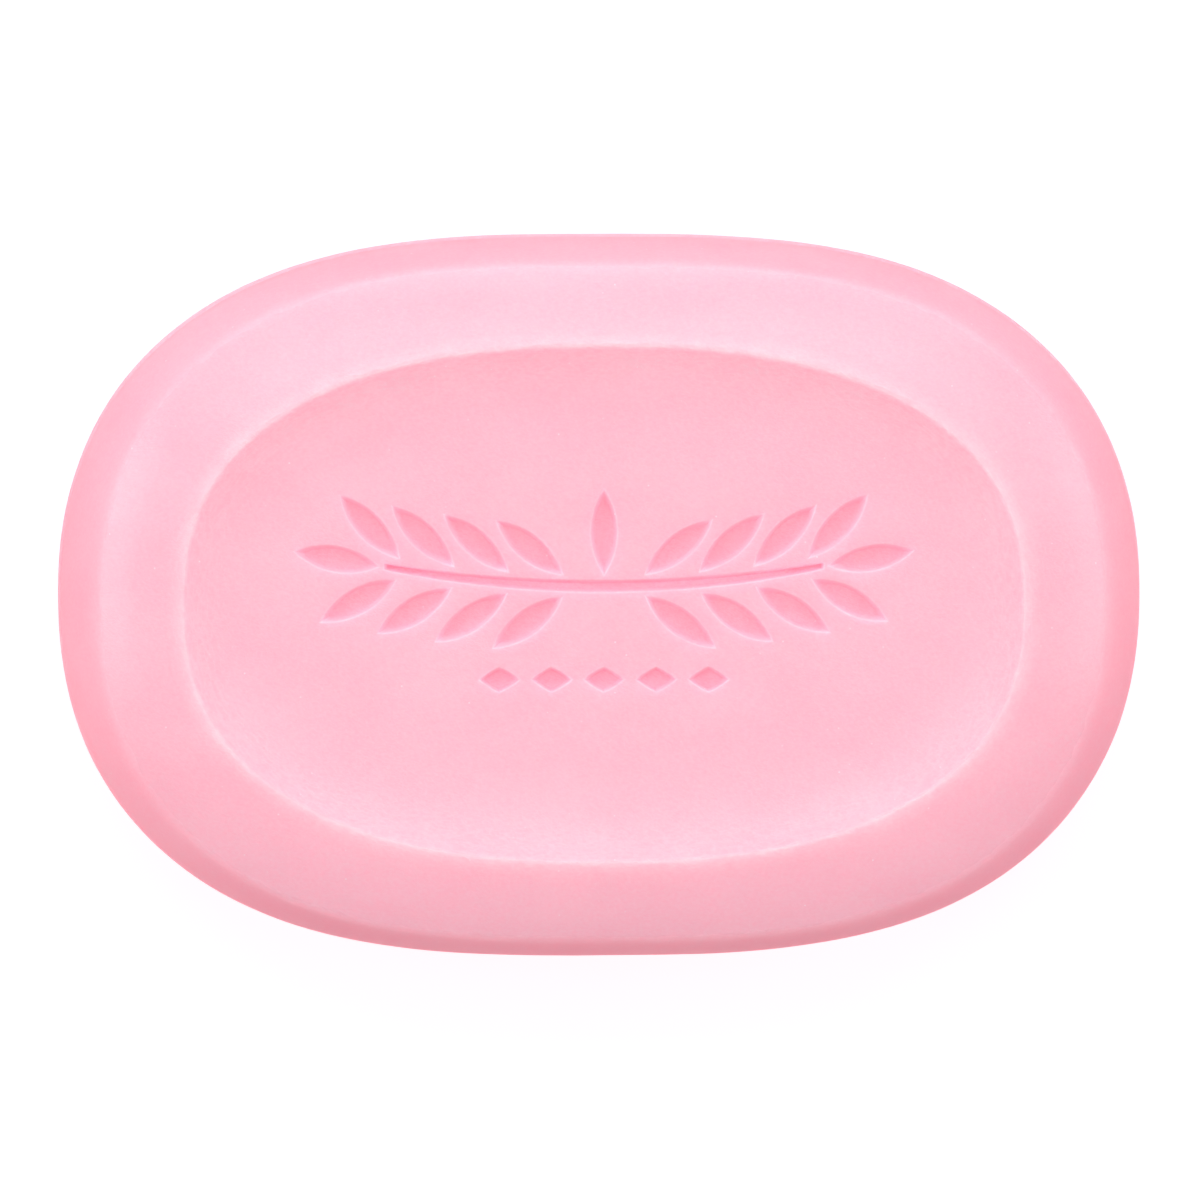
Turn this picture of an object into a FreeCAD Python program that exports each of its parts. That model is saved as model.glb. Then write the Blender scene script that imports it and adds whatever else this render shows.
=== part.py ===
import FreeCAD, Part
import math
import os

# A bar of toilet soap, pressed in one piece between the two halves of a die.
# It lies on a flat surface, face up: X along its length, Y across it, Z up from the surface.
# From the outside in, each half has a rounded side, a soft shoulder, a band that slopes up to a
# crest, and a shallow oval dish inside the crest's lip. The die's joint leaves a fine ridge round
# the waist. The upper dish is engraved with a plain sprig over a row of lozenges. The underside is bare.
# All sizes are in millimetres, and slopes and turns are in degrees.

# Overall size
LENGTH = 88.0
WIDTH = 58.8
THICKNESS = 25.0

# Outline seen from above: |x / half length| ^ END_POWER + |y / half width| ^ SIDE_POWER = 1
OUTLINE_END_POWER = 2.96
OUTLINE_SIDE_POWER = 2.20

# Fine ridge round the waist, where the die halves meet
RIDGE_HEIGHT = 0.9
RIDGE_PROUD = 0.25

# Shoulder, where the rounded side meets the sloping band, inset from the outline at the ends and the sides
SHOULDER_INSET_X = 3.4
SHOULDER_INSET_Y = 2.2
SHOULDER_ROUNDING = 0.7

# Band, from the shoulder up to the crest
BAND_RISE = 2.6
CREST_ROUNDING = 1.1
CREST_FLAT = 0.6

# Dish inside the crest: a crisp lip, and a wall that eases into a level floor.
# The lip's insets are from the bar's outline, and the floor's is from the lip.
LIP_INSET_X = 10.3
LIP_INSET_Y = 8.7
DISH_POWER = 2.41
WALL_SLOPE = 26.0
DISH_DEPTH = 1.25
FLOOR_INSET = 7.0

# Engraving in the floor of the upper dish
ENGRAVING_DEPTH = 0.55
ENGRAVING_DRAFT = 24.0

# Sprig: its stem's tips lie above the dish's middle, its margin is from the lip's ends to the last leaves
SPRIG_RAISE = 3.0
SPRIG_MARGIN = 8.7
STEM_WIDTH = 1.0
STEM_SAG = 1.6
LEAF_PAIRS = 4
LEAF_LENGTH = 7.0
LEAF_WIDTH = 2.1
LEAF_TURN = 38.0
LEAF_GAP = 0.35

# Row of lozenges, which lies below the dish's middle
LOZENGE_COUNT = 5
LOZENGE_LENGTH = 3.2
LOZENGE_WIDTH = 2.0
LOZENGE_PITCH = 4.2
LOZENGE_DROP = 6.1

# Points round each oval, and straight steps along each rounding
OVAL_POINTS = 32
SIDE_STEPS = 4
SHOULDER_STEPS = 2
BAND_STEPS = 2
CREST_STEPS = 2
WALL_STEPS = 3

# How far a cutting tool stands out of the surface that it cuts
TOOL_SPARE = 1.0

# Sizes that follow from the ones above
WAIST = THICKNESS / 2
DISH_X = LENGTH / 2 - LIP_INSET_X
DISH_Y = WIDTH / 2 - LIP_INSET_Y
CREST_WIDTH = CREST_FLAT + CREST_ROUNDING
WALL_RUN = DISH_DEPTH / math.tan(math.radians(WALL_SLOPE))
FLOOR_HEIGHT = THICKNESS - DISH_DEPTH
HALF_STEM = DISH_X - SPRIG_MARGIN - LEAF_LENGTH - LEAF_GAP


# A section is a level oval, given as its half length, half width, height and share of the dish's form.
# The share runs from 0, the bar's own outline, to 1, the outline of the dish.


def outline_section(inset_x, inset_y, height):
    """Oval of the bar's outline, drawn in by one amount at the ends and another at the sides."""
    return (LENGTH / 2 - inset_x, WIDTH / 2 - inset_y, height, 0)


def dish_section(inset, height):
    """Oval of the lip, drawn in by an amount all round."""
    return (DISH_X - inset, DISH_Y - inset, height, 1)


def mix(first, second, share):
    """The section a share of the way from first to second."""
    return tuple(start + (end - start) * share for start, end in zip(first, second))


def bend(first, corner, last, steps):
    """Sections along a curve that leaves first towards the corner and arrives at last from it."""
    shares = [step / steps for step in range(steps + 1)]
    return [mix(mix(first, corner, share), mix(corner, last, share), share) for share in shares]


def radius_at(angle, half_length, half_width, power_x, power_y):
    """Distance from the centre to an oval along a ray, found by halving."""
    along = abs(math.cos(angle)) / half_length
    across = abs(math.sin(angle)) / half_width
    inside = 0.0
    outside = half_length + half_width
    for _ in range(50):
        middle = (inside + outside) / 2
        if (middle * along) ** power_x + (middle * across) ** power_y < 1:
            inside = middle
        else:
            outside = middle
    return middle


def oval(section):
    """Closed smooth wire of a section, through points that crowd towards its ends."""
    half_length, half_width, height, dish_share = section
    powers = mix((OUTLINE_END_POWER, OUTLINE_SIDE_POWER), (DISH_POWER, DISH_POWER), dish_share)
    points = []
    for step in range(OVAL_POINTS):
        turn = 2 * math.pi * step / OVAL_POINTS
        angle = math.atan2(WIDTH * math.sin(turn), LENGTH * math.cos(turn))
        radius = radius_at(angle, half_length, half_width, *powers)
        points.append(FreeCAD.Vector(radius * math.cos(angle), radius * math.sin(angle), height))
    curve = Part.BSplineCurve()
    knots = [float(step) for step in range(OVAL_POINTS + 1)]
    curve.interpolate(Points=points, PeriodicFlag=True, Parameters=knots)
    return Part.Wire([curve.toShape()])


def stack(sections):
    """Solid whose wall runs straight from each section to the next."""
    return Part.makeLoft([oval(section) for section in sections], True, True)


def underside(shape):
    """The same shape, turned to the lower half."""
    return shape.mirror(FreeCAD.Vector(0, 0, WAIST), FreeCAD.Vector(0, 0, 1))


def blank():
    """The bar before its dishes are cut: waist ridge, rounded sides, shoulders, bands and crests."""
    ridge = outline_section(0, 0, WAIST)
    ridge_foot = outline_section(RIDGE_PROUD, RIDGE_PROUD, WAIST + RIDGE_HEIGHT / 2)
    upright = outline_section(RIDGE_PROUD, RIDGE_PROUD, (WAIST + THICKNESS - BAND_RISE) / 2)
    shoulder = outline_section(SHOULDER_INSET_X, SHOULDER_INSET_Y, THICKNESS - BAND_RISE)
    crest = dish_section(-CREST_WIDTH, THICKNESS)
    flat_edge = dish_section(-CREST_FLAT, THICKNESS)

    band_run = shoulder[1] - crest[1]
    shoulder_start = mix(shoulder, upright, SHOULDER_ROUNDING / (shoulder[2] - upright[2]))
    band_start = mix(shoulder, crest, SHOULDER_ROUNDING / band_run)
    band_end = mix(crest, shoulder, CREST_ROUNDING / band_run)

    upper = bend(ridge_foot, upright, shoulder_start, SIDE_STEPS)
    upper += bend(shoulder_start, shoulder, band_start, SHOULDER_STEPS)[1:]
    upper += [mix(band_start, band_end, step / BAND_STEPS) for step in range(1, BAND_STEPS)]
    upper += bend(band_end, crest, flat_edge, CREST_STEPS)
    lower = [(section[0], section[1], THICKNESS - section[2], section[3]) for section in upper]
    return stack(lower[::-1] + [ridge] + upper)


def dish_tool():
    """Solid that takes out the upper dish."""
    lip = dish_section(0, THICKNESS)
    foot = dish_section(WALL_RUN, FLOOR_HEIGHT)
    floor_edge = dish_section(FLOOR_INSET, FLOOR_HEIGHT)
    return stack([dish_section(0, THICKNESS + TOOL_SPARE)] + bend(lip, foot, floor_edge, WALL_STEPS))


def leaf_outline(grow, height):
    """Leaf of two arcs that meet in points, centred on the origin and grown all round by an amount."""
    half_width = LEAF_WIDTH / 2 + grow
    half_length = half_width * LEAF_LENGTH / LEAF_WIDTH
    start = FreeCAD.Vector(-half_length, 0, height)
    end = FreeCAD.Vector(half_length, 0, height)
    upper = Part.Arc(start, FreeCAD.Vector(0, half_width, height), end)
    lower = Part.Arc(end, FreeCAD.Vector(0, -half_width, height), start)
    return Part.Wire([upper.toShape(), lower.toShape()])


def lozenge_outline(grow, height):
    """Lozenge centred on the origin, grown all round by an amount."""
    half_width = LOZENGE_WIDTH / 2 + grow
    half_length = half_width * LOZENGE_LENGTH / LOZENGE_WIDTH
    corners = [(half_length, 0), (0, half_width), (-half_length, 0), (0, -half_width), (half_length, 0)]
    return Part.makePolygon([FreeCAD.Vector(x, y, height) for x, y in corners])


def stem_outline(grow, height):
    """Sagging stem between the two tip leaves, grown all round by an amount."""
    half_length = HALF_STEM + grow
    middle = STEM_WIDTH / 2 + grow
    tip = middle / 2
    corners = [
        FreeCAD.Vector(-half_length, tip, height),
        FreeCAD.Vector(half_length, tip, height),
        FreeCAD.Vector(half_length, -tip, height),
        FreeCAD.Vector(-half_length, -tip, height),
    ]
    upper = Part.Arc(corners[0], FreeCAD.Vector(0, middle - STEM_SAG, height), corners[1])
    lower = Part.Arc(corners[2], FreeCAD.Vector(0, -middle - STEM_SAG, height), corners[3])
    right = Part.LineSegment(corners[1], corners[2])
    left = Part.LineSegment(corners[3], corners[0])
    return Part.Wire([upper.toShape(), right.toShape(), lower.toShape(), left.toShape()])


def plug(outline, x, y, turn=0.0):
    """Tapering plug that leaves an engraved mark, true to its outline where it meets the floor."""
    wires = []
    for level in (-ENGRAVING_DEPTH, ENGRAVING_DEPTH):
        wires.append(outline(level * math.tan(math.radians(ENGRAVING_DRAFT)), level))
    shape = Part.makeLoft(wires, True, True)
    shape.rotate(FreeCAD.Vector(), FreeCAD.Vector(0, 0, 1), turn)
    shape.translate(FreeCAD.Vector(x, y, FLOOR_HEIGHT))
    return shape


def leaf(x, y, turn):
    """Leaf that starts at a place and runs along a turn."""
    way = math.radians(turn)
    return plug(leaf_outline, x + LEAF_LENGTH / 2 * math.cos(way), y + LEAF_LENGTH / 2 * math.sin(way), turn)


def sprig():
    """Sagging stem with paired leaves, a leaf past each tip and an upright bud at the middle."""
    tools = [plug(stem_outline, 0, SPRIG_RAISE)]
    tools.append(leaf(0, SPRIG_RAISE - STEM_SAG + STEM_WIDTH / 2 + LEAF_GAP, 90))
    stand_off = (STEM_WIDTH / 2 + LEAF_GAP) / math.sin(math.radians(LEAF_TURN))
    for pair in range(LEAF_PAIRS):
        x = HALF_STEM * (pair + 0.5) / LEAF_PAIRS
        y = SPRIG_RAISE - STEM_SAG * (1 - (x / HALF_STEM) ** 2)
        slope = math.degrees(math.atan(2 * STEM_SAG * x / HALF_STEM ** 2))
        for turn in (slope + LEAF_TURN, slope - LEAF_TURN):
            leaf_x = x + stand_off * math.cos(math.radians(turn))
            leaf_y = y + stand_off * math.sin(math.radians(turn))
            tools.append(leaf(leaf_x, leaf_y, turn))
            tools.append(leaf(-leaf_x, leaf_y, 180 - turn))
    tip_turn = math.degrees(math.atan(2 * STEM_SAG / HALF_STEM))
    tools.append(leaf(HALF_STEM + LEAF_GAP, SPRIG_RAISE, tip_turn))
    tools.append(leaf(-HALF_STEM - LEAF_GAP, SPRIG_RAISE, 180 - tip_turn))
    return tools


def lozenge_row():
    """Row of lozenges under the sprig."""
    places = [place - (LOZENGE_COUNT - 1) / 2 for place in range(LOZENGE_COUNT)]
    return [plug(lozenge_outline, LOZENGE_PITCH * place, -LOZENGE_DROP) for place in places]


def soap_bar():
    """The whole bar."""
    tool = dish_tool()
    shape = blank().cut([tool, underside(tool)])
    return shape.cut(sprig() + lozenge_row())


os.makedirs("parts", exist_ok=True)
soap_bar().exportStep("parts/soap_bar.step")
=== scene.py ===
# %% [markdown]
# # A pressed bar of toilet soap
# A bar like this starts as a warm extruded billet of milled soap. A press closes two cooled die halves
# on it, and everything that gives it its look is made in that one stroke: the rounded sides, the
# sloping bands, the crest round each dish, the engraving, and the fine ridge at the waist where the die
# halves meet. The lesson follows that order. It builds one closed mesh from ovals, then looks at what
# soap does with light.

# %% The frame
import math

import bpy
import numpy as np
from mathutils import Matrix, Vector, noise
from mathutils.geometry import delaunay_2d_cdt


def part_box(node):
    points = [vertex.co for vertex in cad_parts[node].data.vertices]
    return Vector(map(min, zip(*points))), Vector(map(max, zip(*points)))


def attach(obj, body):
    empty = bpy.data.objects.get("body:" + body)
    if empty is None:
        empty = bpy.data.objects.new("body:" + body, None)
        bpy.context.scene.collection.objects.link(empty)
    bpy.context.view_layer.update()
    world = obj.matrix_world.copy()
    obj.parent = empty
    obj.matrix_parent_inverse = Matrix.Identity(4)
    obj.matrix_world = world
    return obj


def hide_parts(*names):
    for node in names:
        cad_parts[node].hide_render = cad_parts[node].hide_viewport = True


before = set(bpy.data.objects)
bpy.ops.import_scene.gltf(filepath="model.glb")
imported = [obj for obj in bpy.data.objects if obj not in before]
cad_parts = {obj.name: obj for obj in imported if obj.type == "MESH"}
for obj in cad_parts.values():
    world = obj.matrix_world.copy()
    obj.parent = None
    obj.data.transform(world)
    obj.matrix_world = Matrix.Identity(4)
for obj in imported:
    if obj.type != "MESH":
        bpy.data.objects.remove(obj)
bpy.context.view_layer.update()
low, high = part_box("soap_bar")
MM = 0.001
LENGTH, WIDTH, THICKNESS = (round((top - bottom) / MM, 1) for bottom, top in zip(low, high))
WAIST = THICKNESS / 2
print("solid model, mm:", LENGTH, WIDTH, THICKNESS)

# %% [markdown]
# ## The camera
# The bar lies on its back and the camera looks down on it, tilted a few degrees, so the far side of the
# dish's lip shows a little lower than the outline does. A long lens from most of a metre away keeps the
# ovals true. The tilt is written as the direction from the bar to the camera.

# %% The camera
CAMERA_DISTANCE = 800.0
CAMERA_LEAN = (-0.032, 0.060)
FRAME_WIDTH = 97.6
SENSOR_WIDTH = 36.0

lean_x, lean_y = CAMERA_LEAN
towards_camera = Vector((lean_x, lean_y, 1.0)).normalized()
picture_up = (Vector((0, 1, 0)) - towards_camera * towards_camera.y).normalized()
picture_right = picture_up.cross(towards_camera)
aim = Vector((0, 0, WAIST)) - picture_up * 0.38 + picture_right * 0.03

camera_data = bpy.data.cameras.new("camera")
camera = bpy.data.objects.new("camera", camera_data)
camera_data.sensor_width = SENSOR_WIDTH
camera_data.lens = SENSOR_WIDTH * CAMERA_DISTANCE / FRAME_WIDTH
camera_data.clip_start = 0.01
camera.location = (aim + towards_camera * CAMERA_DISTANCE) * MM
camera.rotation_euler = Matrix((picture_right, picture_up, towards_camera)).transposed().to_euler()
bpy.context.scene.collection.objects.link(camera)
bpy.context.scene.camera = camera
print("lens, mm:", round(camera_data.lens, 1))

# %% [markdown]
# ## One oval
# Seen from above, every level of the bar is an oval that is squarer than an ellipse. A superellipse
# draws it: raising the two shares of the half sizes to a power above 2 fills out its corners. The
# outline and the dish have different powers, so a section also says how far it has turned from the one
# form to the other.

# %% Sizes, and the points of one oval
OUTLINE_POWERS = (2.96, 2.20)
DISH_POWERS = (2.41, 2.41)
ROUND_POINTS = 320

turns = np.arange(ROUND_POINTS) * 2 * math.pi / ROUND_POINTS
ray_angles = np.arctan2(WIDTH * np.sin(turns), LENGTH * np.cos(turns))


def mix(first, second, share):
    return tuple(start + (end - start) * share for start, end in zip(first, second))


def oval(section):
    half_length, half_width, height, dish_share = section
    power_x, power_y = mix(OUTLINE_POWERS, DISH_POWERS, dish_share)
    along = np.abs(np.cos(ray_angles)) / half_length
    across = np.abs(np.sin(ray_angles)) / half_width
    inside = np.zeros(ROUND_POINTS)
    outside = np.full(ROUND_POINTS, half_length + half_width)
    for _ in range(40):
        middle = (inside + outside) / 2
        within = (middle * along) ** power_x + (middle * across) ** power_y < 1
        inside = np.where(within, middle, inside)
        outside = np.where(within, outside, middle)
    x, y = middle * np.cos(ray_angles), middle * np.sin(ray_angles)
    return np.column_stack([x, y, np.full(ROUND_POINTS, height)])


# %% [markdown]
# ## The profile
# Cut across, the die is a few slopes with rounded corners. A rounded corner is a quadratic curve: it
# leaves one section towards the corner and arrives at the next section from it, which is two mixes and
# a mix of those. Small steps along each curve give the mesh a ring wherever light turns, and few rings
# where it doesn't.

# %% Sections from the waist to the dish floor
RIDGE_HEIGHT, RIDGE_PROUD = 0.9, 0.25
SHOULDER_INSET_X, SHOULDER_INSET_Y, SHOULDER_ROUNDING = 3.4, 2.2, 0.5
BAND_RISE, CORNER_SHARE, CORNER_DROP, LIP_ROUNDING = 2.6, 0.44, 0.86, 0.3
DISH_X, DISH_Y = LENGTH / 2 - 10.3, WIDTH / 2 - 8.7
WALL_SLOPE, DISH_DEPTH, FLOOR_INSET = 26.0, 1.25, 7.0
FLOOR_HEIGHT = THICKNESS - DISH_DEPTH
WALL_RUN = DISH_DEPTH / math.tan(math.radians(WALL_SLOPE))


def outline_section(inset_x, inset_y, height):
    return (LENGTH / 2 - inset_x, WIDTH / 2 - inset_y, height, 0)


def dish_section(inset, height):
    return (DISH_X - inset, DISH_Y - inset, height, 1)


def bend(first, corner, last, steps):
    shares = [step / steps for step in range(steps + 1)]
    return [mix(mix(first, corner, share), mix(corner, last, share), share) for share in shares]


def straight(first, last, steps):
    return [mix(first, last, step / steps) for step in range(1, steps)]


ridge = outline_section(0, 0, WAIST)
ridge_foot = outline_section(RIDGE_PROUD, RIDGE_PROUD, WAIST + RIDGE_HEIGHT / 2)
upright = outline_section(RIDGE_PROUD, RIDGE_PROUD, (WAIST + THICKNESS - BAND_RISE) / 2)
shoulder = outline_section(SHOULDER_INSET_X, SHOULDER_INSET_Y, THICKNESS - BAND_RISE)
lip = dish_section(0, THICKNESS)
crest = mix(shoulder, lip, CORNER_SHARE)
crest = (crest[0], crest[1], THICKNESS - CORNER_DROP, CORNER_SHARE)
foot = dish_section(WALL_RUN, FLOOR_HEIGHT)
floor_edge = dish_section(FLOOR_INSET, FLOOR_HEIGHT)

band_run = shoulder[1] - crest[1]
crest_run = crest[1] - lip[1]
shoulder_start = mix(shoulder, upright, SHOULDER_ROUNDING / (shoulder[2] - upright[2]))
band_start = mix(shoulder, crest, SHOULDER_ROUNDING / band_run)
band_end = mix(crest, shoulder, 0.6)
lip_start = mix(lip, crest, LIP_ROUNDING / crest_run)
lip_end = mix(lip, foot, LIP_ROUNDING / WALL_RUN)

profile = [mix(ridge, ridge_foot, 0.35), mix(ridge, ridge_foot, 0.75)]
profile += bend(ridge_foot, upright, shoulder_start, 22)
profile += bend(shoulder_start, shoulder, band_start, 10)[1:]
shoulder_ring = len(profile) - 5
profile += straight(band_start, band_end, 3)
profile += bend(band_end, crest, lip_start, 18)[:-1]
profile += bend(lip_start, lip, lip_end, 6)
lip_ring = len(profile) - 4
profile += bend(lip_end, foot, floor_edge, 26)[1:]
print("rings in each half:", len(profile))

# %% [markdown]
# ## How far along the profile
# The finish of the bar follows its form: edges that stand proud are painted paler, a painted highlight
# for the light that the crest, the shoulder and the waist ridge catch, and the fine hairs of the pressed
# skin run across the crest. So each ring is given its distance along the profile from the waist, and
# from that a value that is 1 on a proud edge and fades out beside it, the mask of that painted
# highlight. Both are kept on the mesh for the material to read.

# %% Distance and painted highlight of each ring
def distances(rings):
    steps = [math.hypot(b[0] - a[0], b[2] - a[2]) for a, b in zip([ridge] + rings[:-1], rings)]
    return np.cumsum(steps)


def fade(distance, outer, inner):
    side = np.where(distance < 0, -distance / outer, distance / inner)
    return np.clip(1 - side, 0, 1) ** 1.5


way = distances(profile)
# The proud value is the mask of a painted highlight: full at the lip, a fifth at the shoulder and seven
# tenths at the waist ridge.
proud = fade(way - way[lip_ring], 1.5, 0.3)
proud = np.maximum(proud, 0.2 * fade(way - way[shoulder_ring], 0.9, 1.1))
proud = np.maximum(proud, 0.7 * fade(way, 0.5, 0.5))
print("from waist to lip, mm:", round(float(way[lip_ring]), 2))

# %% Rings of both halves
lower_half = [(a, b, THICKNESS - height, share) for a, b, height, share in profile]
sections = lower_half[::-1] + [ridge] + profile
points = np.vstack([oval(section) for section in sections])
faces = []
for ring in range(len(sections) - 1):
    start, above = ring * ROUND_POINTS, (ring + 1) * ROUND_POINTS
    for place in range(ROUND_POINTS):
        after = (place + 1) % ROUND_POINTS
        faces.append((start + place, start + after, above + after, above + place))
ring_way = np.concatenate([-way[::-1], [0.0], way])
ring_edge_highlight = np.concatenate([proud[::-1], [0.5], proud])
point_way = np.repeat(ring_way, ROUND_POINTS)
point_edge_highlight = np.repeat(ring_edge_highlight, ROUND_POINTS)
point_ray = np.tile(oval(lip)[:, :2], (len(sections), 1))
print("ring faces:", len(faces))

# %% [markdown]
# ## The engraved marks
# The upper dish carries a plain sprig over a row of lozenges. In the die they stand proud, with walls
# that lean so that the bar lets go of them, so in the bar each one is a hollow with a sloping wall and
# a level floor. Soap never keeps a sharp edge, so each hollow starts with a small rounding and ends
# with another at its floor. Each mark is drawn as nested outlines, one for each step of that little
# profile.

# %% Outlines of a leaf, a lozenge and the stem
LEAF_LENGTH, LEAF_WIDTH = 7.0, 2.1
LOZENGE_LENGTH, LOZENGE_WIDTH = 3.2, 2.0
STEM_WIDTH, STEM_SAG = 1.0, 1.6
HALF_STEM = DISH_X - 8.7 - LEAF_LENGTH - 0.35


def arc_height(x, half_chord, rise):
    radius = (half_chord ** 2 + rise ** 2) / (2 * rise)
    return np.sqrt(radius ** 2 - x ** 2) - (radius - rise)


def leaf_outline(grow):
    half_width = LEAF_WIDTH / 2 + grow
    half_length = LEAF_LENGTH / 2 + grow * (1 if grow > 0 else LEAF_LENGTH / LEAF_WIDTH)
    x = half_length * np.sin(np.linspace(-math.pi / 2, math.pi / 2, 25))
    y = arc_height(x, half_length, half_width)
    return np.vstack([np.column_stack([x, -y]), np.column_stack([x, y])[-2:0:-1]])


def lozenge_outline(grow):
    half_width = LOZENGE_WIDTH / 2 + grow
    half_length = half_width * LOZENGE_LENGTH / LOZENGE_WIDTH
    around = np.linspace(0, 2 * math.pi, 41)[:-1]
    x = np.sign(np.cos(around)) * np.abs(np.cos(around)) ** 1.75
    y = np.sign(np.sin(around)) * np.abs(np.sin(around)) ** 1.75
    return np.column_stack([x * half_length, y * half_width])


def stem_outline(grow):
    half_length = HALF_STEM + grow
    half_width = STEM_WIDTH / 2 + grow
    x = np.linspace(-half_length, half_length, 81)
    upper = half_width / 2 - arc_height(x, half_length, STEM_SAG - half_width / 2)
    lower = -half_width / 2 - arc_height(x, half_length, STEM_SAG + half_width / 2)
    return np.vstack([np.column_stack([x, lower]), np.column_stack([x, upper])[::-1]])


# %% Places of the marks
LEAF_PAIRS, LEAF_TURN, LEAF_GAP = 4, 38.0, 0.35
SPRIG_RAISE = 3.0
LOZENGE_COUNT, LOZENGE_PITCH, LOZENGE_DROP = 5, 4.2, 6.1


def leaf_mark(x, y, turn):
    angle = math.radians(turn)
    middle_x = x + LEAF_LENGTH / 2 * math.cos(angle)
    middle_y = y + LEAF_LENGTH / 2 * math.sin(angle)
    return (leaf_outline, middle_x, middle_y, turn)


marks = [(stem_outline, 0, SPRIG_RAISE, 0)]
marks.append(leaf_mark(0, SPRIG_RAISE - STEM_SAG + STEM_WIDTH / 2 + LEAF_GAP, 90))
stand_off = (STEM_WIDTH / 2 + LEAF_GAP) / math.sin(math.radians(LEAF_TURN))
for pair in range(LEAF_PAIRS):
    x = HALF_STEM * (pair + 0.5) / LEAF_PAIRS
    y = SPRIG_RAISE - STEM_SAG * (1 - (x / HALF_STEM) ** 2)
    slope = math.degrees(math.atan(2 * STEM_SAG * x / HALF_STEM ** 2))
    for turn in (slope + LEAF_TURN, slope - LEAF_TURN):
        leaf_x = x + stand_off * math.cos(math.radians(turn))
        leaf_y = y + stand_off * math.sin(math.radians(turn))
        marks.append(leaf_mark(leaf_x, leaf_y, turn))
        marks.append(leaf_mark(-leaf_x, leaf_y, 180 - turn))
tip_turn = math.degrees(math.atan(2 * STEM_SAG / HALF_STEM))
marks.append(leaf_mark(HALF_STEM + LEAF_GAP, SPRIG_RAISE, tip_turn))
marks.append(leaf_mark(-HALF_STEM - LEAF_GAP, SPRIG_RAISE, 180 - tip_turn))
for place in range(LOZENGE_COUNT):
    marks.append((lozenge_outline, LOZENGE_PITCH * (place - (LOZENGE_COUNT - 1) / 2), -LOZENGE_DROP, 0))
print("marks:", len(marks))

# %% [markdown]
# ## The floor with its hollows
# The floor of the dish sags a hair towards its middle. Between the floor's edge and the marks' outlines
# it is filled with triangles by a constrained Delaunay triangulation, which keeps every outline as real
# edges. A lattice of points inside it keeps the triangles small and even, so that they shade smoothly.

# %% Steps of a mark's wall, and the floor's height
ENGRAVING_DEPTH, ENGRAVING_DRAFT = 0.55, 24.0
EDGE_ROUNDING, BOTTOM_ROUNDING = 0.13, 0.10
FLOOR_SAG = 0.15
draft = math.tan(math.radians(ENGRAVING_DRAFT))


def wall_steps():
    start, corner, end = (EDGE_ROUNDING, 0), (0, 0), (-EDGE_ROUNDING * draft, EDGE_ROUNDING)
    steps = [mix(mix(start, corner, t), mix(corner, end, t), t) for t in np.linspace(0, 1, 5)]
    bottom = (-ENGRAVING_DEPTH * draft, ENGRAVING_DEPTH)
    start = (-(ENGRAVING_DEPTH - BOTTOM_ROUNDING) * draft, ENGRAVING_DEPTH - BOTTOM_ROUNDING)
    end = (bottom[0] - BOTTOM_ROUNDING, ENGRAVING_DEPTH)
    return steps + [mix(mix(start, bottom, t), mix(bottom, end, t), t) for t in np.linspace(0, 1, 4)]


def floor_height(x, y):
    reach = (np.abs(x) / floor_edge[0]) ** DISH_POWERS[0] + (np.abs(y) / floor_edge[1]) ** DISH_POWERS[1]
    return FLOOR_HEIGHT - FLOOR_SAG * np.clip(1 - reach, 0, 1) ** 2


# %% Filling the floor
LATTICE = 0.8


def placed(outline, x, y, turn):
    angle = math.radians(turn)
    spin = np.array([[math.cos(angle), math.sin(angle)], [-math.sin(angle), math.cos(angle)]])
    return outline @ spin + (x, y)


def inside_loop(spots, loop):
    x, y = spots[:, 0], spots[:, 1]
    crossings = np.zeros(len(spots), int)
    for (x1, y1), (x2, y2) in zip(loop, np.roll(loop, -1, axis=0)):
        if y1 != y2:
            crossings += ((y1 > y) != (y2 > y)) & (x < x1 + (y - y1) * (x2 - x1) / (y2 - y1))
    return crossings % 2 == 1


def fill_floor(rim, loops):
    spots = []
    for row, y in enumerate(np.arange(-floor_edge[1], floor_edge[1], LATTICE * 0.866)):
        for x in np.arange(-floor_edge[0], floor_edge[0], LATTICE):
            spots.append((x + LATTICE / 2 * (row % 2), y))
    spots = np.array(spots)
    keep = inside_loop(spots, rim * 0.975)
    for loop in loops:
        near = np.min(np.linalg.norm(spots[:, None] - loop[None], axis=2), axis=1) < LATTICE * 0.4
        keep &= ~near & ~inside_loop(spots, loop)
    boundary = [rim] + loops
    edges = []
    first = 0
    for loop in boundary:
        edges += [(first + i, first + (i + 1) % len(loop)) for i in range(len(loop))]
        first += len(loop)
    flat = np.vstack(boundary + [spots[keep]])
    result = delaunay_2d_cdt([Vector(spot) for spot in flat], edges, [], 1, 1e-6)
    where = np.array([tuple(v) for v in result[0]])
    triangles = np.array(result[2])
    middles = where[triangles].mean(axis=1)
    solid = np.ones(len(triangles), bool)
    for loop in loops:
        solid &= ~inside_loop(middles, loop)
    origin = [sources[0] for sources in result[3]]
    return flat, np.array(origin)[triangles[solid]]


# %% The upper floor, its marks and the lower floor
steps = wall_steps()
rim_start = (len(sections) - 1) * ROUND_POINTS
rim = points[rim_start:rim_start + ROUND_POINTS, :2]
top_loops = [placed(outline(steps[0][0]), x, y, turn) for outline, x, y, turn in marks]
flat, triangles = fill_floor(rim, top_loops)
new_points = [np.column_stack([flat, floor_height(flat[:, 0], flat[:, 1])])[ROUND_POINTS:]]
new_hollow = [np.zeros(len(flat) - ROUND_POINTS)]
new_edge_highlight = [np.zeros(len(flat) - ROUND_POINTS)]
added = np.arange(len(flat) - ROUND_POINTS)
index = np.concatenate([rim_start + np.arange(ROUND_POINTS), len(points) + added])
faces += [tuple(int(index[corner]) for corner in triangle) for triangle in triangles]

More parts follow.
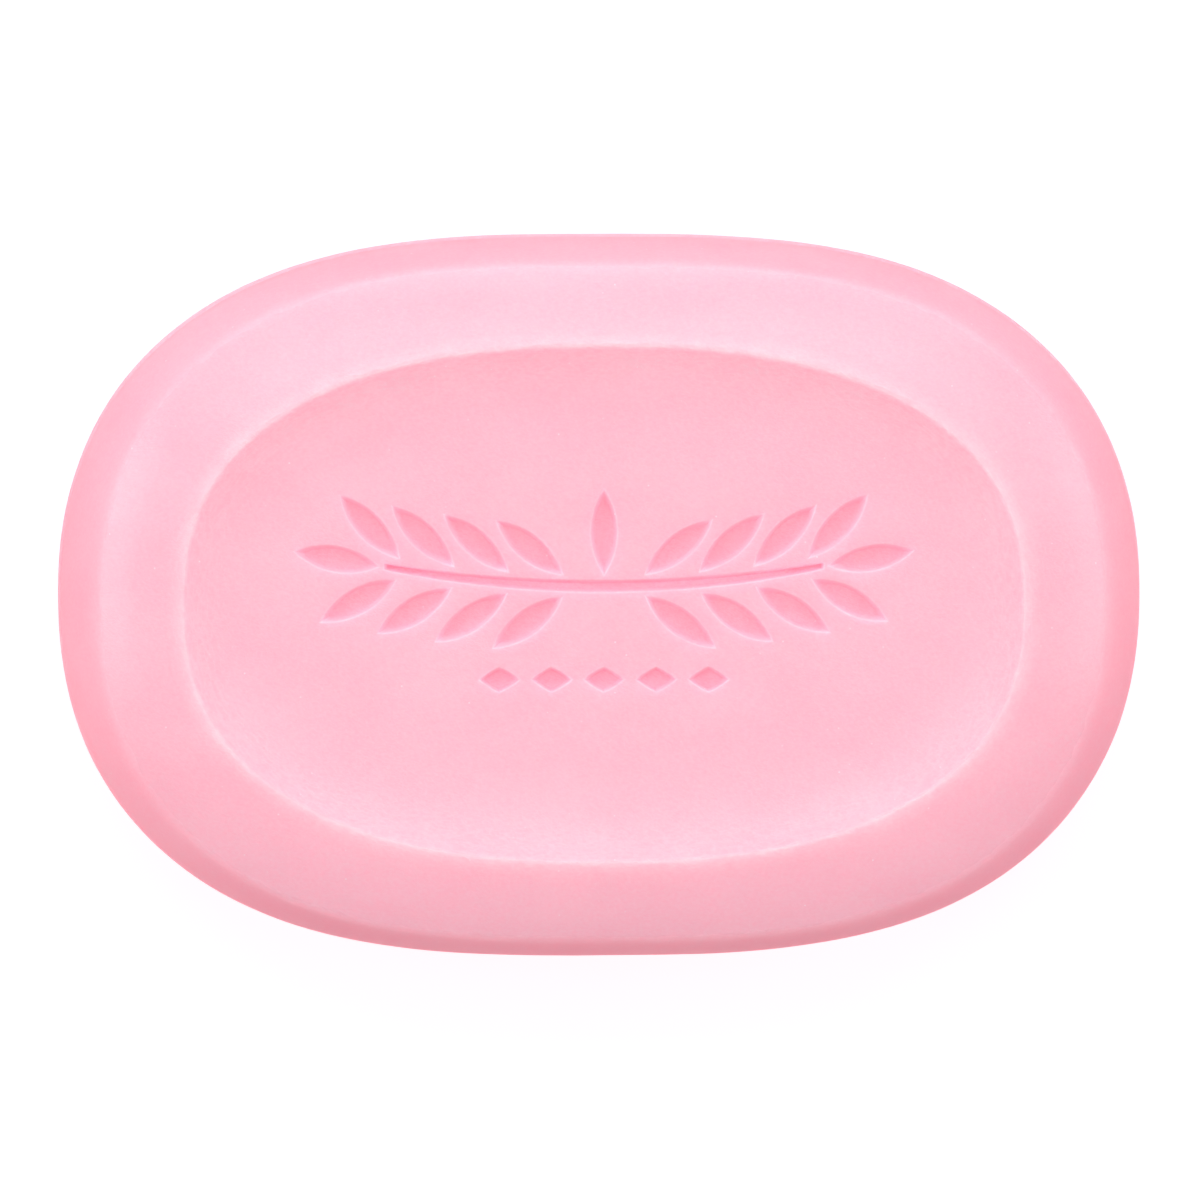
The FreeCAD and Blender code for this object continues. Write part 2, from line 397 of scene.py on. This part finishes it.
next_point = len(points) + len(flat) - ROUND_POINTS
loop_start = len(points)
for (outline, x, y, turn), top in zip(marks, top_loops):
    count = len(top)
    upper = loop_start
    for grow, drop in steps[1:]:
        loop = placed(outline(grow), x, y, turn)
        new_points.append(np.column_stack([loop, floor_height(loop[:, 0], loop[:, 1]) - drop]))
        new_hollow.append(np.full(count, drop / ENGRAVING_DEPTH))
        # The rounding at the top of each mark's wall gets a painted highlight, a pale line where its
        # edge catches light.
        new_edge_highlight.append(np.full(count, 0.6 * max(0.0, 1 - abs(drop - EDGE_ROUNDING * 0.3) / 0.09)))
        for i in range(count):
            j = (i + 1) % count
            faces.append((upper + i, upper + j, next_point + j, next_point + i))
        upper = next_point
        next_point += count
    faces.append(tuple(range(upper, upper + count)))
    loop_start += count
points = np.vstack([points] + new_points)
hollow = np.concatenate([np.zeros(len(point_way))] + new_hollow)
point_edge_highlight = np.concatenate([point_edge_highlight] + new_edge_highlight)

flat, triangles = fill_floor(rim, [])
added = np.arange(len(flat) - ROUND_POINTS)
index = np.concatenate([np.arange(ROUND_POINTS), len(points) + added])
low_floor = THICKNESS - floor_height(flat[:, 0], flat[:, 1])
points = np.vstack([points, np.column_stack([flat, low_floor])[ROUND_POINTS:]])
faces += [tuple(int(index[corner]) for corner in triangle[::-1]) for triangle in triangles]
inward = np.full(len(points), way[-1] - way[lip_ring])
inward[:len(point_way)] = np.abs(point_way) - way[lip_ring]
hollow = np.concatenate([hollow, np.zeros(len(points))])[:len(points)]
point_edge_highlight = np.concatenate([point_edge_highlight, np.zeros(len(points))])[:len(points)]
flow = np.column_stack([points[:, :2], inward])
flow[:len(point_way), :2] = point_ray
print("points:", len(points), "faces:", len(faces))

# %% [markdown]
# ## Small unevenness
# A die gives every bar the same form, but the bar is soft when it leaves: it settles, and a hand or a
# belt moves it. Two scales of smooth noise shift the surface by a few hundredths of a millimetre, which
# is far too little to see as form and just enough to keep the long reflections from looking drawn.

# %% The bar's mesh
def uneven(point):
    broad = noise.noise(Vector(point) / 9.0 + Vector((3.1, 0, 0)))
    fine = noise.noise(Vector(point) / 2.6 + Vector((0, 7.7, 0)))
    return 0.035 * broad + 0.012 * fine


mesh = bpy.data.meshes.new("pressed_soap_bar")
mesh.from_pydata([tuple(point) for point in points], [], faces)
mesh.validate()
mesh.update()
normals = np.array([tuple(vertex.normal) for vertex in mesh.vertices])
shift = np.array([uneven(point) for point in points])
points = points + normals * shift[:, None]
mesh.vertices.foreach_set("co", (points * MM).ravel())
mesh.polygons.foreach_set("use_smooth", np.ones(len(mesh.polygons), bool))
mesh.update()
for name, values in (("proud", point_edge_highlight), ("hollow", hollow), ("inward", inward)):
    mesh.attributes.new(name, "FLOAT", "POINT").data.foreach_set("value", values.astype(np.float32))
flow_layer = mesh.attributes.new("flow", "FLOAT_VECTOR", "POINT")
flow_layer.data.foreach_set("vector", flow.astype(np.float32).ravel())
bar = bpy.data.objects.new("pressed_soap_bar", mesh)
bpy.context.scene.collection.objects.link(bar)
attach(bar, "root")
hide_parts("soap_bar")
print("triangles:", sum(len(face.vertices) - 2 for face in mesh.polygons))

# %% [markdown]
# ## The soap
# Milled toilet soap is a dense paste of fatty-acid salts with a little water and glycerine, coloured
# through. Light goes a few millimetres into it and comes out again, red furthest, so its shadows are
# soft and warm and its thin edges are paler. The cooled die leaves a satin skin on it. A Principled
# shader with subsurface light does that part; a glossy paint with no depth would look like plastic,
# because its shadows would turn grey. The subsurface radius is the mean way of red, green and blue in
# the paste, in millimetres here.


# %% Helpers for materials
def linear(hex_colour):
    channels = [int(hex_colour[i:i + 2], 16) / 255 for i in (1, 3, 5)]
    return tuple(c / 12.92 if c <= 0.04045 else ((c + 0.055) / 1.055) ** 2.4 for c in channels) + (1.0,)


def add(tree, kind, links=(), **settings):
    node = tree.nodes.new(kind)
    for name, value in settings.items():
        if hasattr(node, name) and not name[0].isupper():
            setattr(node, name, value)
        else:
            node.inputs[name.replace("_", " ")].default_value = value
    for socket, source in links:
        tree.links.new(source, node.inputs[socket])
    return node


# %% Milled soap
SOAP_LIGHT_REACH = (4.4, 0.8, 1.1)

soap = bpy.data.materials.new("milled_toilet_soap")
soap.use_nodes = True
tree = soap.node_tree
tree.nodes.clear()
out = add(tree, "ShaderNodeOutputMaterial")
shader = add(
    tree, "ShaderNodeBsdfPrincipled", subsurface_method="BURLEY", IOR=1.46,
    Subsurface_Weight=1.0, Subsurface_Radius=SOAP_LIGHT_REACH, Subsurface_Scale=MM,
)
tree.links.new(shader.outputs["BSDF"], out.inputs["Surface"])
bar.data.materials.append(soap)

# %% [markdown]
# ## Places and sizes for the patterns
# Every pattern is set by a real size. The object's own coordinates times a thousand are millimetres,
# and a Mapping node of the Texture kind divides by its scale, so its three numbers are the length,
# width and height of one grain of the pattern in millimetres. The flow attribute is a second set of
# coordinates: round the bar, and inwards from the lip, which carries the marks that follow the form.

# %% Places on the soap
coordinates = add(tree, "ShaderNodeTexCoord")
place_mm = add(
    tree, "ShaderNodeVectorMath", [(0, coordinates.outputs["Object"])], operation="SCALE", Scale=1000.0,
)
place_mm = place_mm.outputs[0]
flow = add(tree, "ShaderNodeAttribute", attribute_name="flow").outputs["Vector"]
proud_edge_highlight = add(tree, "ShaderNodeAttribute", attribute_name="proud").outputs["Fac"]
hollow_share = add(tree, "ShaderNodeAttribute", attribute_name="hollow").outputs["Fac"]
inward_mm = add(tree, "ShaderNodeAttribute", attribute_name="inward").outputs["Fac"]

# %% Clouds, grain, and rub and highlight noise
# Billets are kneaded, not stirred, so the colour drifts a little over a centimetre. The grain of the
# pressed skin is a few hundredths of a millimetre on a real bar, and it is drawn 0.3 mm wide so that it
# shows. The rub and highlight noise makes the satin of the skin uneven where a proud edge has been
# rubbed more or less, and it varies how strongly the painted highlight on the proud edges shows.
cloud_size = add(
    tree, "ShaderNodeMapping", [("Vector", place_mm)], vector_type="TEXTURE", Scale=(9.0, 6.0, 6.0),
)
clouds = add(
    tree, "ShaderNodeTexNoise", [("Vector", cloud_size.outputs[0])], Scale=1.0, Detail=2.0,
    Roughness=0.5,
)
grain_size = add(
    tree, "ShaderNodeMapping", [("Vector", place_mm)], vector_type="TEXTURE", Scale=(0.36, 0.26, 0.28),
)
grain = add(
    tree, "ShaderNodeTexNoise", [("Vector", grain_size.outputs[0])], Scale=1.0, Detail=1.0,
    Roughness=0.6,
)
rub_and_highlight_size = add(
    tree, "ShaderNodeMapping", [("Vector", place_mm)], vector_type="TEXTURE", Scale=(1.6, 1.6, 1.6),
)
rub_and_highlight = add(
    tree, "ShaderNodeTexNoise", [("Vector", rub_and_highlight_size.outputs[0])], Scale=1.0, Detail=2.0, Roughness=0.6,
)

# %% Wrinkles of the skin
# The skin sets against the cold die before the paste under it stops moving, so it is finely wrinkled:
# short wavy lines about half a millimetre long over the face, and longer ones along the lip, where it
# is drawn furthest. A line is where the noise passes through its middle value, so its distance from 0.5
# makes thin curved lines.
wrinkle_size = add(
    tree, "ShaderNodeMapping", [("Vector", place_mm)], vector_type="TEXTURE", Scale=(0.52, 0.25, 0.3),
    Rotation=(0.0, 0.0, math.radians(-14)),
)
wrinkles = add(
    tree, "ShaderNodeTexNoise", [("Vector", wrinkle_size.outputs[0])], Scale=1.0, Detail=1.0,
    Roughness=0.5,
)
wrinkle_way = add(tree, "ShaderNodeMath", [(0, wrinkles.outputs["Fac"])], operation="SUBTRACT")
wrinkle_way.inputs[1].default_value = 0.5
wrinkle_way = add(tree, "ShaderNodeMath", [(0, wrinkle_way.outputs[0])], operation="ABSOLUTE")
wrinkle_lines = add(
    tree, "ShaderNodeMapRange", [("Value", wrinkle_way.outputs[0])], From_Min=0.0, From_Max=0.10,
    To_Min=1.0, To_Max=0.0,
)

lip_fold_size = add(
    tree, "ShaderNodeMapping", [("Vector", flow)], vector_type="TEXTURE", Scale=(1.3, 1.3, 0.42),
)
lip_folds = add(
    tree, "ShaderNodeTexNoise", [("Vector", lip_fold_size.outputs[0])], Scale=1.0, Detail=1.0,
    Roughness=0.5,
)
fold_way = add(tree, "ShaderNodeMath", [(0, lip_folds.outputs["Fac"])], operation="SUBTRACT")
fold_way.inputs[1].default_value = 0.5
fold_way = add(tree, "ShaderNodeMath", [(0, fold_way.outputs[0])], operation="ABSOLUTE")
fold_lines = add(
    tree, "ShaderNodeMapRange", [("Value", fold_way.outputs[0])], From_Min=0.0, From_Max=0.13,
    To_Min=1.0, To_Max=0.0,
)

# %% Where the wrinkles show
patch = add(
    tree, "ShaderNodeMapRange", [("Value", rub_and_highlight.outputs["Fac"])], From_Min=0.30, From_Max=0.65,
    To_Min=0.7,
)
off_side = add(
    tree, "ShaderNodeMapRange", [("Value", inward_mm)], From_Min=-10.0, From_Max=-6.5, To_Min=0.25,
    To_Max=1.0,
)
wrinkle_show = add(
    tree, "ShaderNodeMath", [(0, wrinkle_lines.outputs[0]), (1, off_side.outputs[0])],
    operation="MULTIPLY",
)
off_lip = add(tree, "ShaderNodeMath", [(0, inward_mm)], operation="SUBTRACT")
off_lip.inputs[1].default_value = 1.0
off_lip = add(tree, "ShaderNodeMath", [(0, off_lip.outputs[0])], operation="ABSOLUTE")
at_lip = add(
    tree, "ShaderNodeMapRange", [("Value", off_lip.outputs[0])], From_Min=0.8, From_Max=3.2, To_Min=1.0,
    To_Max=0.0,
)
fold_show = add(
    tree, "ShaderNodeMath", [(0, fold_lines.outputs[0]), (1, at_lip.outputs[0])], operation="MULTIPLY",
)
fold_show = add(
    tree, "ShaderNodeMath", [(0, fold_show.outputs[0]), (1, patch.outputs[0])], operation="MULTIPLY",
)

# %% Pale specks
# Flakes of drier soap that the mill didn't take in show as rare pale specks, 0.1 to 0.2 mm across. A
# Voronoi cell of 0.9 mm holds at most one, and its random colour says whether it does.
speck_size = add(
    tree, "ShaderNodeMapping", [("Vector", place_mm)], vector_type="TEXTURE", Scale=(0.9, 0.9, 0.9),
)
cells = add(tree, "ShaderNodeTexVoronoi", [("Vector", speck_size.outputs[0])], Scale=1.0)
speck_dots = add(
    tree, "ShaderNodeMapRange", [("Value", cells.outputs["Distance"])], From_Min=0.05, From_Max=0.11,
    To_Min=0.6, To_Max=0.0,
)
chosen = add(tree, "ShaderNodeSeparateColor", [(0, cells.outputs["Color"])])
rare = add(tree, "ShaderNodeMapRange", [("Value", chosen.outputs[0])], From_Min=0.80, From_Max=0.98)
speck_show = add(
    tree, "ShaderNodeMath", [(0, speck_dots.outputs[0]), (1, rare.outputs[0])], operation="MULTIPLY",
)

# %% Colour of the soap
# The pale pink draws the pale wrinkle and fold lines, and it paints the highlight on proud edges. The
# hollow pink is painted shade.
SOAP_PINK, LIGHTER_SOAP_PINK = "#ffb5c8", "#ffbdce"
PALE_LINE_AND_HIGHLIGHT_PINK, HOLLOW_SHADE_PINK, SPECK_PINK = "#ffd9e3", "#fba5ba", "#ffeaf0"

cloud_and_grain = add(
    tree, "ShaderNodeMath", [(0, clouds.outputs["Fac"]), (1, grain.outputs["Fac"])], operation="ADD",
)
tone = add(
    tree, "ShaderNodeMapRange", [("Value", cloud_and_grain.outputs[0])], From_Min=0.72, From_Max=1.28,
)
body = add(tree, "ShaderNodeMix", [("Factor", tone.outputs[0])], data_type="RGBA")
body.inputs["A"].default_value = linear(SOAP_PINK)
body.inputs["B"].default_value = linear(LIGHTER_SOAP_PINK)

grain_share = add(
    tree, "ShaderNodeMapRange", [("Value", grain.outputs["Fac"])], From_Min=0.3, From_Max=0.7,
    To_Min=0.55, To_Max=0.95,
)
# Painted shade: the engraved hollows turn towards a deeper pink with their depth, and the grain varies
# it.
painted_hollow_shade = add(
    tree, "ShaderNodeMath", [(0, hollow_share), (1, grain_share.outputs[0])], operation="MULTIPLY",
)
hollow_shaded = add(
    tree, "ShaderNodeMix", [("Factor", painted_hollow_shade.outputs[0]), ("A", body.outputs["Result"])],
    data_type="RGBA",
)
hollow_shaded.inputs["B"].default_value = linear(HOLLOW_SHADE_PINK)

# Painted highlight: proud edges (the crest, the shoulder, the waist ridge and the tops of the marks'
# walls) are mixed towards the pale pink, more or less by the noise.
edge_highlight_share = add(
    tree, "ShaderNodeMapRange", [("Value", rub_and_highlight.outputs["Fac"])], From_Min=0.3, From_Max=0.7, To_Min=0.35,
    To_Max=0.65,
)
painted_edge_highlight = add(tree, "ShaderNodeMath", [(0, proud_edge_highlight), (1, edge_highlight_share.outputs[0])], operation="MULTIPLY")
pale = add(
    tree, "ShaderNodeMath", [(0, wrinkle_show.outputs[0]), (2, painted_edge_highlight.outputs[0])],
    operation="MULTIPLY_ADD",
)
pale.inputs[1].default_value = 0.10
pale = add(
    tree, "ShaderNodeMath", [(0, fold_show.outputs[0]), (2, pale.outputs[0])], operation="MULTIPLY_ADD",
    use_clamp=True,
)
pale.inputs[1].default_value = 0.18
paler = add(
    tree, "ShaderNodeMix", [("Factor", pale.outputs[0]), ("A", hollow_shaded.outputs["Result"])],
    data_type="RGBA",
)
paler.inputs["B"].default_value = linear(PALE_LINE_AND_HIGHLIGHT_PINK)

specked = add(
    tree, "ShaderNodeMix", [("Factor", speck_show.outputs[0]), ("A", paler.outputs["Result"])],
    data_type="RGBA",
)
specked.inputs["B"].default_value = linear(SPECK_PINK)
tree.links.new(specked.outputs["Result"], shader.inputs["Base Color"])

# %% Satin skin
# The die polishes the crest and the bands most. Towards the waist the bar slides against its neighbours
# in the carton, and the skin there is duller. It is a little duller inside the dish too, where no hand
# or belt rubs it smooth. Both changes are short and lie on a real edge, the shoulder and the lip.
on_side = add(tree, "ShaderNodeMapRange", [("Value", inward_mm)], From_Min=-6.8, From_Max=-9.0)
dull = add(tree, "ShaderNodeMapRange", [("Value", on_side.outputs[0])], To_Min=0.225, To_Max=0.60)
uneven_satin = add(
    tree, "ShaderNodeMapRange", [("Value", rub_and_highlight.outputs["Fac"])], From_Min=0.3, From_Max=0.7,
    To_Min=-0.03, To_Max=0.03,
)
satin = add(
    tree, "ShaderNodeMath", [(0, dull.outputs[0]), (1, uneven_satin.outputs[0])], operation="ADD",
)
in_dish = add(
    tree, "ShaderNodeMapRange", [("Value", inward_mm)], From_Min=0.0, From_Max=0.4, To_Min=0.0,
    To_Max=0.13,
)
satin = add(
    tree, "ShaderNodeMath", [(0, satin.outputs[0]), (1, in_dish.outputs[0])], operation="ADD",
)
tree.links.new(satin.outputs[0], shader.inputs["Roughness"])

# %% Relief of the skin
# One height is the sum of the patterns, each in hundredths of a millimetre.
RELIEF = (
    (grain.outputs["Fac"], 1.4), (wrinkle_show.outputs[0], 0.8), (fold_show.outputs[0], 1.1),
)
height = None
for pattern, hundredths in RELIEF:
    layer = add(tree, "ShaderNodeMath", [(0, pattern)], operation="MULTIPLY_ADD")
    layer.inputs[1].default_value = hundredths
    layer.inputs[2].default_value = 0.0
    if height:
        tree.links.new(height.outputs[0], layer.inputs[2])
    height = layer
relief = add(tree, "ShaderNodeBump", [("Height", height.outputs[0])], Strength=1.0, Distance=0.01 * MM)
tree.links.new(relief.outputs[0], shader.inputs["Normal"])
print("soap nodes:", len(tree.nodes))

# %% [markdown]
# ## Floor and light
# The bar lies on a pale paper sweep. The paper is a matt rose, because paper beside a pink bar throws
# pink light back on its sides, and it carries the soft shadow. A plain glow that only camera, glossy
# and transmission rays see brings it up to the white of a studio background without lighting the bar. A
# strip lamp stands beyond the top of the picture, at the slant where the crest mirrors it, with a low
# wide one behind it and one at each side. The white room fills the rest, a little stronger near its
# horizon than overhead.

# %% The floor
floor_mesh = bpy.data.meshes.new("floor")
floor_mesh.from_pydata([(-3, -3, 0), (3, -3, 0), (3, 3, 0), (-3, 3, 0)], [], [(0, 1, 2, 3)])
floor = bpy.data.objects.new("floor", floor_mesh)
bpy.context.scene.collection.objects.link(floor)
floor.location.z = -0.02 * MM

paper = bpy.data.materials.new("rose_paper_sweep")
paper.use_nodes = True
tree = paper.node_tree
tree.nodes.clear()
out = add(tree, "ShaderNodeOutputMaterial")
matt = add(tree, "ShaderNodeBsdfDiffuse", Color=linear("#de8c97"))
glow = add(tree, "ShaderNodeEmission", Color=(1, 1, 1, 1), Strength=0.82)
path = add(tree, "ShaderNodeLightPath")
seen = add(
    tree, "ShaderNodeMath", [(0, path.outputs["Is Camera Ray"]), (1, path.outputs["Is Glossy Ray"])],
    operation="MAXIMUM",
)
seen = add(
    tree, "ShaderNodeMath", [(0, seen.outputs[0]), (1, path.outputs["Is Transmission Ray"])],
    operation="MAXIMUM",
)
nothing = add(tree, "ShaderNodeEmission", Color=(0, 0, 0, 1), Strength=0.0)
shown = add(
    tree, "ShaderNodeMixShader", [(0, seen.outputs[0]), (1, nothing.outputs[0]), (2, glow.outputs[0])],
)
both = add(tree, "ShaderNodeAddShader", [(0, matt.outputs[0]), (1, shown.outputs[0])])
tree.links.new(both.outputs[0], out.inputs["Surface"])
floor.data.materials.append(paper)

# %% Lights
def softbox(name, place, size, watts):
    lamp_data = bpy.data.lights.new(name, "AREA")
    lamp_data.shape = "RECTANGLE"
    lamp_data.size, lamp_data.size_y = size
    lamp_data.energy = watts
    lamp = bpy.data.objects.new(name, lamp_data)
    lamp.location = place
    lamp.rotation_euler = Vector(place).to_track_quat("Z", "Y").to_euler()
    bpy.context.scene.collection.objects.link(lamp)
    return lamp


softbox("key", (0.0, 0.40, 0.82), (0.8, 0.12), 2.1)
softbox("back", (0.0, 0.95, 0.30), (1.0, 0.4), 3.3)
softbox("left", (-0.9, 0.1, 0.5), (0.7, 0.5), 2.9)
softbox("right", (0.9, 0.1, 0.5), (0.7, 0.5), 2.2)

# %% The room
HORIZON_LIGHT, OVERHEAD_LIGHT = 0.74, 0.55

world = bpy.data.worlds.new("white_room")
bpy.context.scene.world = world
world.use_nodes = True
tree = world.node_tree
background = tree.nodes["Background"]
direction = add(tree, "ShaderNodeTexCoord")
height = add(tree, "ShaderNodeSeparateXYZ", [(0, direction.outputs["Generated"])])
room_light = add(
    tree, "ShaderNodeMapRange", [("Value", height.outputs["Z"])], From_Min=0.0, From_Max=1.0,
    To_Min=HORIZON_LIGHT, To_Max=OVERHEAD_LIGHT,
)
tree.links.new(room_light.outputs[0], background.inputs["Strength"])
background.inputs["Color"].default_value = linear("#fff8f8")
bpy.context.scene.view_settings.view_transform = "Standard"
